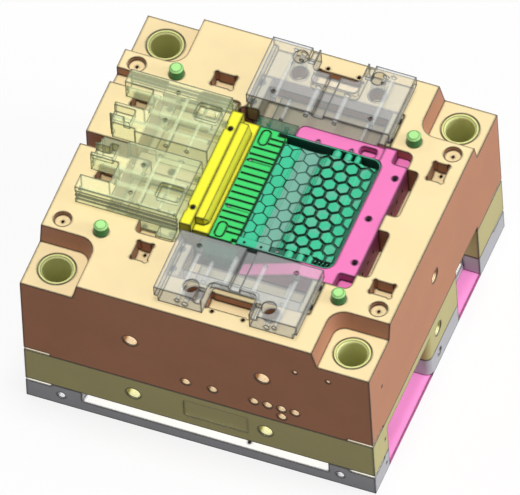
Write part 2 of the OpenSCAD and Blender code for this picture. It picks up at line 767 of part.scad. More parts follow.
// a rounded rib between the cell field and the rim, lying along Y at the front or the back
module lump(x, s, d) {
    y = field_half - 4;
    translate([x, 0, honey_top - 1 - d / 2]) rotate([s * -90, 0, 0]) translate([0, 0, y])
        cylinder(d = d, h = part_half - insert_c - rim_t / 2 - y);
    block(x - d / 2, x + d / 2, s > 0 ? y : -part_half + 2, s > 0 ? part_half - 2 : -y, trench_z - e,
        honey_top - 1 - d / 2);
}

// the deep pocket at the front right in which the small studs stand
module stud_pocket() {
    pad(honey_x1 - 59, honey_x1 - 13, -field_half - 20, -field_half - 2, floor_z - 10, e, 8);
}

// the strip at the front left of the field, with its two vent holes
module honey_front_strip() {
    difference() {
        block(honey_x0, honey_x0 + strip_l, -part_half + insert_c, -field_half + e, trench_z - e,
            honey_top - 3);
        for (x = [20, 68]) drill(honey_x0 + x, -field_half - 14, honey_top - 12, e, 6);
    }
}

// the thin rim round the back, the right and the front of the core
module honey_rim() {
    translate([0, 0, trench_z - e]) linear_extrude(honey_top - trench_z + e) difference() {
        honey_outline(0);
        honey_outline(rim_t);
    }
}

// the levels that the tops of the cells follow along X, over the whole field
module honey_profile(half) {
    x = honey_x0;
    low = honey_top - 7;
    rotate([90, 0, 0]) translate([0, 0, -half]) linear_extrude(2 * half)
        polygon(concat([[x + 4, honey_top - 20], [x + 4, honey_top - 4]],
            ramp(x + down_x, honey_top - 4, low), ramp(x + ramp_x, low, honey_top),
            [[honey_x1 - 53, honey_top], [honey_x1 - 45, honey_top - 5], [honey_x1 - 11, honey_top - 5],
            [honey_x1 - 11, honey_top - 20]]));
}

// four small steps from level z0 to level z1, starting at x
function ramp(x, z0, z1) = [for (i = [0 : 3], t = [0, 1]) [x + 7 * i, z0 + (z1 - z0) * (i + t) / 4]];

module comb_core() color([0.2, 0.92, 0.45]) at_parting() {
    x1 = honey_x0 - insert_c;
    y = part_half - insert_c;
    difference() {
        block(comb_x0, x1, -y, y, core_z1, honey_top);
        for (k = [-5.5 : 1 : 5.5]) block(comb_x0 + 4, x1 + e, k * slot_pitch - slot_w / 2,
            k * slot_pitch + slot_w / 2, honey_top - slot_d, e);
        for (s = [-1, 1], k = [6.5, 7.3]) block(x1 - 42, x1 + e, s * k * slot_pitch - slot_w / 2,
            s * k * slot_pitch + slot_w / 2, honey_top - slot_d, e);
        for (s = [-1, 1]) {
            difference() {
                pad(comb_x0 + 9, comb_x0 + 37, s * 162 - 27, s * 162 + 27, honey_top - 6, e, 13.9);
                pad(comb_x0 + 12, comb_x0 + 34, s * 162 - 24, s * 162 + 24, honey_top - 7, honey_top, 10.9);
            }
            block(comb_pin_x, x1 + e, s * comb_pin_y - 5, s * comb_pin_y + 5, honey_top - 4, e);
            drill(comb_pin_x, s * comb_pin_y, core_z1 - e, e, pin_d + 2 * run_c);
        }
        block(x1 - 22, x1 + e, trench_y, y + e, honey_top - 20, e);
        block(x1 - 14, x1 + e, -y - e, -trench_y - 4, honey_top - 12, e);
        core_screw_holes(core_z1 - e, core_screw_d);
    }
}

module gate_block() color([0.98, 0.96, 0.2]) at_parting() {
    x0 = core_x0 + insert_c;
    x1 = comb_x0 - insert_c;
    y = part_half - insert_c;
    difference() {
        union() {
            block(x0, x1, -y, y, core_z1, strip_z0);
            block(strip_x1, x1, -y, y, strip_z0 - e, 0);
            gate_bar();
        }
        for (s = [-1, 1]) drill(gate_screw_x, s * gate_screw_y, strip_z0 - 30, strip_z0 + e, 8);
        core_screw_holes(core_z1 - e, core_screw_d);
    }
}

// the raised bar of the gate block: cut corners and a leaning inner flank
module gate_bar() {
    half = bar_len / 2;
    cut = 12;
    translate([strip_x1, 0, 0]) difference() {
        translate([0, 0, -e]) linear_extrude(gate_top + e)
            polygon([[0, -half], [gate_bar_w - cut, -half], [gate_bar_w, cut - half],
                [gate_bar_w, half - cut], [gate_bar_w - cut, half], [0, half]]);
        rotate([90, 0, 0]) translate([0, 0, -half - e]) linear_extrude(bar_len + 2 * e)
            polygon([[gate_bar_w - 11, gate_top + e], [gate_bar_w - 2, gate_top / 2],
                [gate_bar_w, 0], [2 * gate_bar_w, 0], [2 * gate_bar_w, gate_top + e]]);
    }
}

module gate_strip() color([0.98, 0.96, 0.2]) at_parting() difference() {
    block(side_x1 + 1, strip_x1 - insert_c, -part_half - 6, part_half + 6, strip_z0, gate_top - 1);
    for (s = [-1, 1]) {
        drill(gate_screw_x, s * gate_screw_y, gate_top - 12, gate_top, 13.5);
        drill(gate_screw_x, s * gate_screw_y, strip_z0 - e, gate_top, 9);
        block(side_x1, side_x1 + 4, s * 145 - 13, s * 145 + 13, gate_top - 12, gate_top);
    }
}

module gate_screws() color([0.3, 0.3, 0.32]) at_parting()
    for (s = [-1, 1]) translate([gate_screw_x, s * gate_screw_y, gate_top - 12]) mirror([0, 0, 1])
        cap_screw(8, 13, gate_top - 12 - strip_z0 + 26);

// a straight water line along Y, from y0 to y1
module line_y(x, z, y0, y1, d) {
    translate([x, y0, z]) rotate([-90, 0, 0]) cylinder(d = d, h = y1 - y0);
}

// a straight water line along X, from x0 to x1
module line_x(y, z, x0, x1, d) {
    translate([x0, y, z]) rotate([0, 90, 0]) cylinder(d = d, h = x1 - x0);
}

// the slide at the back; the front one is its mirror image
module cross_slide() at_parting() translate([cross_x, 0, 0]) {
    half = cross_l / 2;
    foot = half - foot_in;
    keel_y = cross_in + keel_len;
    keel_z = -cross_pocket_d + wear_t + slide_c / 2;
    difference() {
        union() {
            block(-half, half, cross_in, cross_out, foot_z, cross_h);
            block(-foot, foot, cross_in, cross_out, slide_c, foot_z + e);
            block(-keel_half, keel_half, cross_in, keel_y, keel_z, e);
            block(-keel_half - lug, keel_half + lug, cross_in, keel_y, keel_z, gib_z() - slide_c);
        }
        pad(-notch_w / 2, notch_w / 2, cross_out - notch_d, cross_out + 40, -e, cross_h + e, 14);
        pad(-notch_w / 2, notch_w / 2, cross_out - notch_d - notch_step, cross_out + 40, -e,
            notch_step_z, 14);
        block(-groove_w / 2, groove_w / 2, cross_in - 10, cross_out, cross_h - groove_d, cross_h + e);
        for (s = [-1, 1]) {
            translate([s * angle_x, angle_y, cross_h]) rotate([-angle_pin_a, 0, 0])
                translate([0, 0, -cross_h - 30]) cylinder(d = angle_pin_d, h = cross_h + 60);
            drill(s * 139, cross_in + 34, cross_h - 44, cross_h + e, 12);
            line_y(s * 139, 24, cross_in + 22, cross_out + e, 12);
            line_y(s * 41, 16, cross_in + 12, cross_out - notch_d - notch_step + e, 14);
            line_y(s * 113, -35, cross_in + 12, keel_y + e, 12);
            line_y(s * 117, 17, cross_out - 24, cross_out + e, 15);
            block(s * 81 - 9, s * 81 + 9, cross_out - 42, cross_out + e, cross_h - 18, cross_h + e);
        }
    }
}

module back_slide() color(glass_c) cross_slide();

module front_slide() color(glass_c) mirror([0, 1, 0]) cross_slide();

// the moulding face of a cross slide, bolted to its inner end
module cross_core() at_parting() {
    y0 = part_half + 4.5;
    difference() {
        block(max(comb_x0 - 22, cross_x - keel_half + 2), ledge_x0 - 5, y0, cross_in, -cross_pocket_d + 3, -20);
        for (x = [6, 56]) line_y(comb_x0 + x, -45, y0 + 12, cross_in + e, 12);
    }
}

module back_slide_core() color([0.6, 0.62, 0.64]) cross_core();

module front_slide_core() color([0.6, 0.62, 0.64]) mirror([0, 1, 0]) cross_core();

// the two gibs that hold down the back slide
module cross_gibs() at_parting() translate([cross_x, 0, 0])
    for (s = [-1, 1]) difference() {
        x0 = keel_half + slide_c;
        x1 = keel_half + gib_w - insert_c;
        block(s < 0 ? -x1 : x0, s < 0 ? -x0 : x1, core_w / 2, cross_in + keel_len + cross_travel + 1.8,
            gib_z(), -1);
        for (y = gib_screw_y) {
            drill(s * gib_screw_x, y, gib_z() - e, 0, 11);
            drill(s * gib_screw_x, y, -12, 0, 18);
        }
    }

module back_gibs() color([0.8, 0.62, 0.3]) cross_gibs();

module front_gibs() color([0.8, 0.62, 0.3]) mirror([0, 1, 0]) cross_gibs();

module gib_screws() color([0.3, 0.3, 0.32]) at_parting()
    for (sx = [-1, 1], sy = [-1, 1], y = gib_screw_y) translate([cross_x + sx * gib_screw_x, sy * y, -12])
        mirror([0, 0, 1]) cap_screw(10, 17, grip - 12 - gib_z());

module cross_wear_plate() at_parting()
    block(cross_x - 150, cross_x + 150, core_w / 2 + 4, cross_in + keel_len + cross_travel,
        -cross_pocket_d, -cross_pocket_d + wear_t);

module back_wear_plate() color([0.8, 0.62, 0.3]) cross_wear_plate();

module front_wear_plate() color([0.8, 0.62, 0.3]) mirror([0, 1, 0]) cross_wear_plate();

// the rear one of the two left slides; the front one is its mirror image
module side_slide() at_parting() {
    x0 = side_x0 + arm_l;
    y0 = side_in;
    y1 = side_out;
    inner0 = y0 + 9;
    inner1 = y0 + 77;
    lug_top = rail_z - slide_c;
    keel_z = -side_pocket_d + wear_t + slide_c / 2;
    difference() {
        union() {
            block(x0, side_x1, y0, y1, slide_c, side_h);
            block(side_x0, x0 + e, y1 - arm_w, y1, slide_c, side_h);
            block(side_x0, x0 + e, inner0, inner1, slide_c, side_h);
            block(keel_x0, side_x1, y0 + 0.5, y1 - 8, shelf_z + slide_c, e);
            block(wing_x0, side_x1, y0 + 0.5, wing_out, shelf_z + slide_c, -1);
            block(keel_x0, side_x1, rail_half, side_keel_out, keel_z, 0);
            block(keel_x0, side_x1, rail_half - 12, side_keel_out + lug, keel_z, lug_top);
        }
        block(side_x0 - e, side_x0 + 62, inner0 + 28, inner0 + 58, side_h - 30, side_h + e);
        block(side_x0 + 42, side_x0 + 62, inner0 + 14, inner0 + 58, side_h - 30, side_h + e);
        drill(side_x0 + 4, inner0 + 16, slide_c - e, side_h + e, 18);
        block(side_x0 - e, side_x0 + 14, inner0 - e, inner0 + 8, slide_c - e, side_h + e);
        for (z = [16, 34]) block(side_x0 - e, side_x1 + e, y1 - 5, y1 + e, z, z + 12);
        for (y = [y0 + 160, y0 + 63]) drill(side_x0 + 148, y, 20, side_h + e, 10);
        for (y = [y0 + 160, y0 + 63]) line_x(y, 20, side_x0 - e, side_x1 - 20, 12);
        line_x(y0 + 110, 20, side_x0 + arm_l - e, side_x1 - 30, 14);
        for (x = [side_x1 - 120, side_x1 - 60]) line_y(x, 39, y0 - e, y1 - 20, 10);
        pad(side_x1 - 78, side_x1 - 12, y0 + 100, y0 + 150, 48, side_h + e, 6);
        line_x(y0 + 130, -22, wing_x0, side_x1 + e, 16);
    }
}

module left_slide_rear() color(side_c) side_slide();

module left_slide_front() color(side_c) mirror([0, 1, 0]) side_slide();

// the T rail between the left slides, fixed to the bottom of their pocket
module left_rail() color([0.8, 0.62, 0.3]) at_parting() difference() {
    x1 = core_x0 - 2;
    stem = rail_half - 12 - slide_c;
    head = rail_half - slide_c;
    union() {
        block(pocket_x0 + 0.3, x1, -stem, stem, -side_pocket_d, shelf_z);
        block(pocket_x0 + 0.3, x1, -head, head, rail_z, shelf_z);
    }
    for (x = rail_screw_x) {
        drill(x, 0, -side_pocket_d - e, 0, 13);
        drill(x, 0, shelf_z - 14, 0, 20);
    }
}

module left_gibs() color([0.8, 0.62, 0.3]) at_parting()
    for (s = [-1, 1]) difference() {
        y0 = side_keel_out + slide_c;
        y1 = rail_out() - insert_c;
        block(pocket_x0 + 0.3, core_x0 - 2, s < 0 ? -y1 : y0, s < 0 ? -y0 : y1, rail_z, shelf_z);
        for (x = left_gib_screw_x) {
            drill(x, s * left_gib_screw_y, rail_z - e, 0, 9);
            drill(x, s * left_gib_screw_y, shelf_z - 9, 0, 15);
        }
    }

module left_wear_plates() color([0.8, 0.62, 0.3]) at_parting()
    for (s = [0, 1]) mirror([0, s, 0])
        block(pocket_x0 + 2, core_x0 - 4, rail_half + 6, side_keel_out - 6, -side_pocket_d,
            -side_pocket_d + wear_t);

module left_gib_screws() color([0.3, 0.3, 0.32]) at_parting() {
    for (x = left_gib_screw_x, s = [-1, 1]) translate([x, s * left_gib_screw_y, shelf_z - 9])
        mirror([0, 0, 1]) cap_screw(8, 14, shelf_z - 9 - rail_z + grip);
    for (x = rail_screw_x) translate([x, 0, shelf_z - 14]) mirror([0, 0, 1])
        cap_screw(12, 19, shelf_z - 14 + side_pocket_d + grip);
}

clamp_plate();
insulation_board();
ejector_box();
bolster_plate();
guide_bushes();
clamp_screws();
support_pillars();
rest_buttons();
ejector_base_plate();
ejector_retainer();
ejector_plate_screws();
ejector_guide_pins();
ejector_guide_bushes();
return_pins();
ejector_pins();
core_insert();
honeycomb_core();
comb_core();
gate_block();
gate_strip();
gate_screws();
insert_screws();
core_screws();
back_slide();
front_slide();
back_slide_core();
front_slide_core();
back_gibs();
front_gibs();
back_wear_plate();
front_wear_plate();
left_slide_rear();
left_slide_front();
left_rail();
left_gibs();
left_wear_plates();
gib_screws();
left_gib_screws();
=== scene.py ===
"""Dresses the moving half of a housing mould: finishes, threads, studio and camera."""

import json
import logging
from dataclasses import dataclass, field
from enum import Enum

import bpy
import numpy as np
from mathutils import Matrix, Vector


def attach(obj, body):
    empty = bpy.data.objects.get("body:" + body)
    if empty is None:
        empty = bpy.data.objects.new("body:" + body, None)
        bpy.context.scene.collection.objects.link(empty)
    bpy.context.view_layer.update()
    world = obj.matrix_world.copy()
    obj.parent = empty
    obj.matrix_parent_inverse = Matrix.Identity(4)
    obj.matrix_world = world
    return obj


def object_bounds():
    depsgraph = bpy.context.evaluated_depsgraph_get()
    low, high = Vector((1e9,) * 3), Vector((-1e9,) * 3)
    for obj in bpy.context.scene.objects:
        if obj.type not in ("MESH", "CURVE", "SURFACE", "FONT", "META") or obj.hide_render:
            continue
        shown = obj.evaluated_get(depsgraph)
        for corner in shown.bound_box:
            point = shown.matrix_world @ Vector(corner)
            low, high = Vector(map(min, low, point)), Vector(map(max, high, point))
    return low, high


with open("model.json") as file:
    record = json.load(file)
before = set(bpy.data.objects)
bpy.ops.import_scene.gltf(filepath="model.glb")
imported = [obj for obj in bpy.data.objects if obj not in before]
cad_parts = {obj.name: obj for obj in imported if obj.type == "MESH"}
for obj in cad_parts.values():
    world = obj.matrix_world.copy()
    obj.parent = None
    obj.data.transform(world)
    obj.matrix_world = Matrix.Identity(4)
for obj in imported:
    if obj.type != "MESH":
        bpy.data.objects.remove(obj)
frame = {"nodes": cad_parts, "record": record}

CAD_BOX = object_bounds()
MM = 0.001
BASE = "mould_base"
EJECTOR = "ejector_set"
WHITE = (1, 1, 1, 1)

# Heights of a normal between which a face turns from the painted shaded colour to the painted lit one.
PAINTED_LIGHT_TURN = (0.35, 0.9)
# Cosines between the bevelled and the true normal where an edge line is full and where it is gone.
LINE_TURN = (0.88, 0.985)
LINE_COVER = 0.9
SPECULAR = 0.22
MARK_DEPTH = 0.4 * MM
# How far the roughness strays below and above its mean.
ROUGH_SPREAD = (-0.06, 0.08)
# A ray passes many see-through walls before it leaves the slides.
CLEAR_WALLS = 32

log = logging.getLogger("mould")

Triple = tuple[float, float, float]
Colour = Triple
Grid = tuple[np.ndarray, np.ndarray]


def srgb(red: int, green: int, blue: int) -> Colour:
    """Turns a screen colour into the linear one that shaders use.

    Args:
        red, green, blue: 0 to 255.

    Returns:
        The same colour with each part from 0 to 1, linear.
    """
    parts = np.array([red, green, blue]) / 255
    linear = np.where(parts <= 0.04045, parts / 12.92, ((parts + 0.055) / 1.055) ** 2.4)
    return tuple(float(p) for p in linear)


class Grain(Enum):
    """How the surface was worked, with the scale of its fine marks per metre along X, Y and Z."""

    GROUND = (30.0, 1400.0, 500.0)
    MILLED = (90.0, 90.0, 90.0)
    TURNED = (60.0, 60.0, 2600.0)
    PLAIN = (1200.0, 1200.0, 1200.0)


class Graph:
    """The node tree of a material or a world, with short calls to add and join nodes."""

    def __init__(self, owner: bpy.types.ID) -> None:
        """Empties the node tree of owner."""
        self.owner = owner
        self.owner.use_nodes = True
        self.tree = self.owner.node_tree
        self.tree.nodes.clear()

    def add(self, kind: str, inputs: dict | None = None, **settings) -> bpy.types.Node:
        """Adds one node.

        Args:
            kind: The node's type name after ShaderNode.
            inputs: Values or sockets for its inputs, by name or number.
            **settings: Attributes of the node itself.

        Returns:
            The new node.
        """
        node = self.tree.nodes.new("ShaderNode" + kind)
        for key, value in settings.items():
            setattr(node, key, value)
        for key, value in (inputs or {}).items():
            if isinstance(value, bpy.types.NodeSocket):
                self.tree.links.new(value, node.inputs[key])
            else:
                node.inputs[key].default_value = value
        return node

    def math(self, operation: str, first, second=0.0):
        """One Math node of the given operation; returns its output socket."""
        return self.add("Math", {0: first, 1: second}, operation=operation).outputs[0]

    def step(self, value, low: float, high: float, start: float = 0.0, end: float = 1.0):
        """A smooth step of value between low and high; returns its output socket."""
        inputs = {"Value": value, "From Min": low, "From Max": high, "To Min": start, "To Max": end}
        node = self.add("MapRange", inputs, interpolation_type="SMOOTHSTEP")
        return node.outputs["Result"]

    def blend(self, factor, first, second):
        """Mixes two colours by factor; returns the colour socket."""
        node = self.add("Mix", {0: factor}, data_type="RGBA")
        for number, value in ((6, first), (7, second)):
            if isinstance(value, bpy.types.NodeSocket):
                self.tree.links.new(value, node.inputs[number])
            else:
                node.inputs[number].default_value = (*value, 1.0)
        return node.outputs[2]

    def place(self):
        """The point in the piece's own frame; returns its socket."""
        return self.add("TexCoord").outputs["Object"]

    def noise(self, vector, scale: float, detail: float = 2.0):
        """Noise at the given scale per metre; returns its value socket."""
        return self.add("TexNoise", {"Vector": vector, "Scale": scale, "Detail": detail}).outputs[0]

    def stretched(self, vector, scales: Triple):
        """The point with each axis scaled, so that a pattern runs along the smallest one."""
        return self.add("Mapping", {"Vector": vector, "Scale": scales}).outputs[0]

    def bumped(self, height, strength: float, distance: float):
        """A normal bumped by height; returns its socket."""
        inputs = {"Height": height, "Strength": strength, "Distance": distance}
        return self.add("Bump", inputs).outputs["Normal"]


@dataclass(frozen=True)
class Finish:
    """A worked metal surface with painted light: faces that point up are painted lighter and the others
    darker.

    Attributes:
        name: Name of the material; the material slots of the frame use the same names.
        lit_top: Painted light: colour of faces that point up, lighter as if lit from above.
        shaded_flank: Painted shade: colour of the other faces, darker as if turned from the light.
        line: Colour of the thin line that picks out each edge.
        line_w: Radius of the bevel that finds edges, in metres; a line grows with it.
        roughness: Mean roughness.
        metallic: Share of bare metal in the look.
        grain: How the surface was worked.
        grain_depth: Strength of its fine marks.
        wear: How much the colour wanders over the surface.
        painted_glow: Painted light: a share of their colour that faces pointing up give off by themselves,
            so that they read bright in shade.
    """

    name: str
    lit_top: Colour
    shaded_flank: Colour
    line: Colour = (0.012, 0.010, 0.008)
    line_w: float = 0.013
    roughness: float = 0.46
    metallic: float = 0.0
    grain: Grain = Grain.GROUND
    grain_depth: float = 0.12
    wear: float = 0.05
    painted_glow: float = 0.0

    def painted_light_mask(self, graph: Graph):
        """1 on faces that point up and 0 on the others, the mask of the painted light from above; returns
        its socket.
        """
        normal = graph.add("NewGeometry").outputs["Normal"]
        return graph.step(graph.add("SeparateXYZ", {0: normal}).outputs["Z"], *PAINTED_LIGHT_TURN)

    def shaded_walls(self, graph: Graph, point):
        """The painted shaded colour of faces that don't point up, or a socket that gives it."""
        return self.shaded_flank

    def colour(self, graph: Graph, point):
        """The colour before edge lines: painted lit to painted shaded by the normal, with faint wear."""
        base = graph.blend(self.painted_light_mask(graph), self.shaded_walls(graph, point), self.lit_top)
        patch = graph.noise(point, 9.0, 4.0)
        shade = graph.step(patch, 0.3, 0.7, 1.0 - self.wear, 1.0)
        return graph.add("VectorMath", {0: base, 3: shade}, operation="SCALE").outputs[0]

    def edge(self, graph: Graph):
        """1 on an edge and 0 away from it: how far a bevelled normal leaves the true one."""
        normal = graph.add("NewGeometry").outputs["Normal"]
        soft = graph.add("Bevel", {"Radius": self.line_w}, samples=8).outputs[0]
        alike = graph.add("VectorMath", {0: normal, 1: soft}, operation="DOT_PRODUCT").outputs["Value"]
        return graph.step(alike, *LINE_TURN, 1.0, 0.0)

    def marks(self, graph: Graph, point):
        """Height of the fine marks of the cutter or the grinding wheel."""
        scales = self.grain.value
        if self.grain is Grain.MILLED:
            sweep = graph.add("TexWave", {"Vector": point, "Scale": scales[0], "Distortion": 6.0,
                "Detail": 2.0, "Detail Scale": 0.4}, wave_type="RINGS").outputs[1]
            return graph.math("ADD", sweep, graph.noise(point, 700.0, 2.0))
        detail = 3.0 if self.grain is Grain.GROUND else 2.0
        return graph.noise(graph.stretched(point, scales), 1.0, detail)

    def build(self) -> bpy.types.Material:
        """Makes the material.

        Returns:
            The new material, named after the finish.
        """
        graph = Graph(bpy.data.materials.new(self.name))
        point = graph.place()
        marks = self.marks(graph, point)
        edge = self.edge(graph)
        colour = graph.blend(graph.math("MULTIPLY", edge, LINE_COVER), self.colour(graph, point), self.line)
        smooth, coarse = (self.roughness + spread for spread in ROUGH_SPREAD)
        inputs = {"Base Color": colour, "Roughness": graph.step(marks, 0.2, 0.9, smooth, coarse),
            "Metallic": self.metallic, "Specular IOR Level": SPECULAR,
            "Normal": graph.bumped(marks, self.grain_depth, MARK_DEPTH)}
        # Painted light: emission that lightens the surface where shade would fall.
        if self.painted_glow:
            inputs |= {"Emission Color": colour, "Emission Strength": self.painted_glow_level(graph)}
        shader = graph.add("BsdfPrincipled", inputs | self.extra(graph, edge))
        graph.add("OutputMaterial", {"Surface": shader.outputs[0]})
        return graph.owner

    def painted_glow_level(self, graph: Graph):
        """Painted light that the surface gives off by itself, as a socket or a number."""
        return graph.math("MULTIPLY", self.painted_light_mask(graph), self.painted_glow)

    def extra(self, graph: Graph, edge) -> dict:
        """Inputs of the shader that only some finishes have."""
        return {}


@dataclass(frozen=True)
class ClearFinish(Finish):
    """A see-through steel body whose edges stay dark.

    Attributes:
        body: Cover of a face away from its edges.
        rim: Cover on an edge.
    """

    body: float = 0.2
    rim: float = 0.9

    def painted_glow_level(self, graph: Graph):
        """Painted light that every face gives off alike, which lightens the see-through slides."""
        return self.painted_glow

    def extra(self, graph: Graph, edge) -> dict:
        """Lets the surface show what is behind it, less so on its edges."""
        return {"Alpha": graph.step(edge, 0.0, 1.0, self.body, self.rim)}


@dataclass(frozen=True)
class BolsterFinish(Finish):
    """The bolster plate, with painted shade: the sides of its pockets and recesses get a cooler, slightly
    darker brown than its outer sides, to offset the warm light bounced onto them from the sand faces.

    Attributes:
        painted_recess_shade: Painted shade: colour of a wall that stands inside the plate's outer sides.
        skin: How far inside such a wall stands at least, in metres.
    """

    painted_recess_shade: Colour = (0.413, 0.195, 0.122)
    skin: float = 0.002

    def shaded_walls(self, graph: Graph, point):
        """The shaded colour on the outer sides and the painted recess shade inside them."""
        parts = graph.add("SeparateXYZ", {0: point}).outputs
        inside = 1.0
        for axis, half in zip("XY", (CAD_BOX[1] - CAD_BOX[0]) / 2):
            depth = graph.math("SUBTRACT", float(half), graph.math("ABSOLUTE", parts[axis]))
            inside = graph.math("MULTIPLY", graph.step(depth, self.skin / 2, self.skin), inside)
        # Painted shade: a cooler, darker brown on sides that stand inside the plate's outer sides.
        return graph.blend(inside, self.shaded_flank, self.painted_recess_shade)


@dataclass(frozen=True)
class BoardFinish(Finish):
    """A laminate board with woven layers that show on its edges.

    Attributes:
        weave: Axis, scale and distortion of the threads one way, the other way and of the layers.
    """

    weave: tuple[tuple[str, float, float], ...] = (("X", 160.0, 0.6), ("Y", 160.0, 0.6), ("Z", 200.0, 0.0))

    def marks(self, graph: Graph, point):
        """Height of the weave, as two crossed waves, and of the layers."""
        along, across, layers = (graph.add("TexWave", {"Vector": point, "Scale": scale, "Distortion": twist},
            bands_direction=axis).outputs[1] for axis, scale, twist in self.weave)
        return graph.math("ADD", graph.math("MULTIPLY", along, across), graph.math("MULTIPLY", layers, 0.5))


@dataclass(frozen=True)
class HoneycombFinish(Finish):
    """The honeycomb core: one band of its cells is spark eroded and greyer, and others in patches.

    Attributes:
        band: Start and end of that band along X, in metres.
        fringe: Width over which the band fades, in metres.
        dull: Colour of its faces that point up.
        floor: Height of the floors of the grooves, in metres.
        painted_groove_shade: Painted shade: dark colour given to the floors of the grooves, where shade
            falls.
    """

    band: tuple[float, float] = (0.066, 0.120)
    fringe: float = 0.002
    dull: Colour = (0.20, 0.475, 0.365)
    floor: float = 0.532
    painted_groove_shade: Colour = (0.012, 0.085, 0.055)

    def colour(self, graph: Graph, point):
        """The plain colour, greyer on the eroded tops, with painted shade that darkens the grooves."""
        plain = super().colour(graph, point)
        parts = graph.add("SeparateXYZ", {0: point})
        along = parts.outputs["X"]
        # Painted shade: the floors of the grooves, below the cell tops, go dark where shade falls.
        groove_shade_mask = graph.step(parts.outputs["Z"], self.floor + 0.2 * MM, self.floor + 0.7 * MM, 1.0, 0.0)
        low, high = self.band
        after = graph.step(along, low - self.fringe, low)
        beyond = graph.step(along, high, high + self.fringe)
        inside = graph.math("SUBTRACT", after, beyond)
        normal = graph.add("NewGeometry").outputs["Normal"]
        level = graph.step(graph.add("SeparateXYZ", {0: normal}).outputs["Z"], 0.9, 0.98)
        patches = graph.math("MULTIPLY", graph.step(graph.noise(point, 30.0, 1.0), 0.5, 0.56), 0.4)
        worn = graph.math("ADD", inside, graph.math("MULTIPLY", patches, beyond))
        tops = graph.blend(graph.math("MULTIPLY", worn, level), plain, self.dull)
        return graph.blend(graph.math("MULTIPLY", groove_shade_mask, 0.85), tops, self.painted_groove_shade)


FINISHES: dict[str, Finish] = {finish.name: finish for finish in (
    # Painted light: each finish has a lit colour for faces that point up and a shaded one for the others.
    BolsterFinish("bolster_steel", srgb(255, 232, 179), srgb(188, 124, 86), painted_glow=0.03),
    # Painted light: where a finish gives off light, it brightens faces that point up, such as the floors of
    # slots and pockets.
    Finish("box_steel", srgb(254, 253, 226), srgb(196, 186, 126), painted_glow=0.6),
    Finish("clamp_steel", srgb(250, 250, 252), srgb(190, 190, 196), painted_glow=0.8),
    # Painted light: the thread linings take lighter copies of the plates' finishes, with strong emission, so
    # that the holes read bright as if lit inside.
    Finish("bolster_thread", srgb(255, 238, 200), srgb(236, 190, 140), line_w=0.002, painted_glow=0.75),
    Finish("box_thread", srgb(255, 254, 206), srgb(214, 206, 130), line_w=0.002, painted_glow=0.8),
    Finish("clamp_thread", srgb(252, 252, 252), srgb(220, 220, 224), line_w=0.002, painted_glow=0.8),
    BoardFinish("insulation_pink", srgb(255, 156, 222), srgb(250, 124, 200), roughness=0.7, painted_glow=0.4),
    Finish("bush_steel", srgb(238, 242, 160), srgb(236, 240, 172), grain=Grain.TURNED, line_w=0.008),
    Finish("screw_steel", srgb(70, 70, 74), srgb(52, 52, 56), roughness=0.5, metallic=0.4,
        grain=Grain.TURNED),
    Finish("plain_steel", srgb(205, 207, 210), srgb(160, 162, 166), metallic=0.5, roughness=0.35),
    Finish("plain_thread", srgb(205, 207, 210), srgb(160, 162, 166), metallic=0.5, roughness=0.35),
    Finish("bronze", srgb(214, 200, 158), srgb(176, 160, 118), metallic=0.2, roughness=0.4),
    Finish("return_pin_steel", srgb(186, 248, 156), srgb(46, 110, 62), grain=Grain.TURNED),
    Finish("core_pink", srgb(254, 134, 200), srgb(182, 94, 146), grain=Grain.MILLED),
    HoneycombFinish("honeycomb_teal", srgb(66, 202, 154), srgb(36, 104, 82), grain=Grain.MILLED,
        line_w=0.007),
    Finish("comb_green", srgb(66, 220, 114), srgb(30, 124, 62), grain=Grain.MILLED, line_w=0.007),
    Finish("gate_yellow", srgb(255, 250, 60), srgb(170, 168, 42), grain=Grain.MILLED),
    # Painted light: the see-through slides give off light on every face.
    ClearFinish("cross_slide_clear", srgb(234, 238, 236), srgb(144, 148, 146), roughness=0.3,
        body=0.25, painted_glow=0.22),
    ClearFinish("left_slide_clear", srgb(232, 244, 198), srgb(192, 206, 154), roughness=0.3,
        painted_glow=0.45),
    ClearFinish("slide_core_steel", srgb(40, 132, 100), srgb(30, 104, 78), roughness=0.3,
        body=0.42, rim=0.6),
)}


class Workshop:
    """Keeps the materials and puts them on CAD nodes and new pieces."""

    def __init__(self) -> None:
        """Reads which slot each node belongs to and builds every finish once."""
        parts = frame["record"]["subparts"]
        self.slot_of = {part["node"]: part["material_slot"] for part in parts}
        self.materials = {name: finish.build() for name, finish in FINISHES.items()}

    def dress(self, node: str) -> None:
        """Puts the finish of its own slot on a CAD node.

        Args:
            node: The node's name.
        """
        item = frame["nodes"][node]
        if not item.material_slots:
            item.data.materials.append(None)
        for place in item.material_slots:
            place.material = self.materials[self.slot_of[node]]
        log.info("dressed %s", node)

    def piece(self, name: str, surface: Grid, body: str, finish: str) -> bpy.types.Object:
        """Makes a mesh piece that rides on a body.

        Args:
            name: Name of the piece.
            surface: Its vertices and its four-cornered faces.
            body: The body that it moves with.
            finish: Name of its finish.

        Returns:
            The new object.
        """
        points, faces = surface
        mesh = bpy.data.meshes.new(name)
        mesh.from_pydata(points.tolist(), [], faces.tolist())
        mesh.polygons.foreach_set("use_smooth", np.ones(len(faces), dtype=bool))
        mesh.materials.append(self.materials[finish])
        mesh.update()
        item = bpy.data.objects.new(name, mesh)
        bpy.context.collection.objects.link(item)
        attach(item, body)
        log.info("made %s with %d faces on %s", name, len(faces), body)
        return item


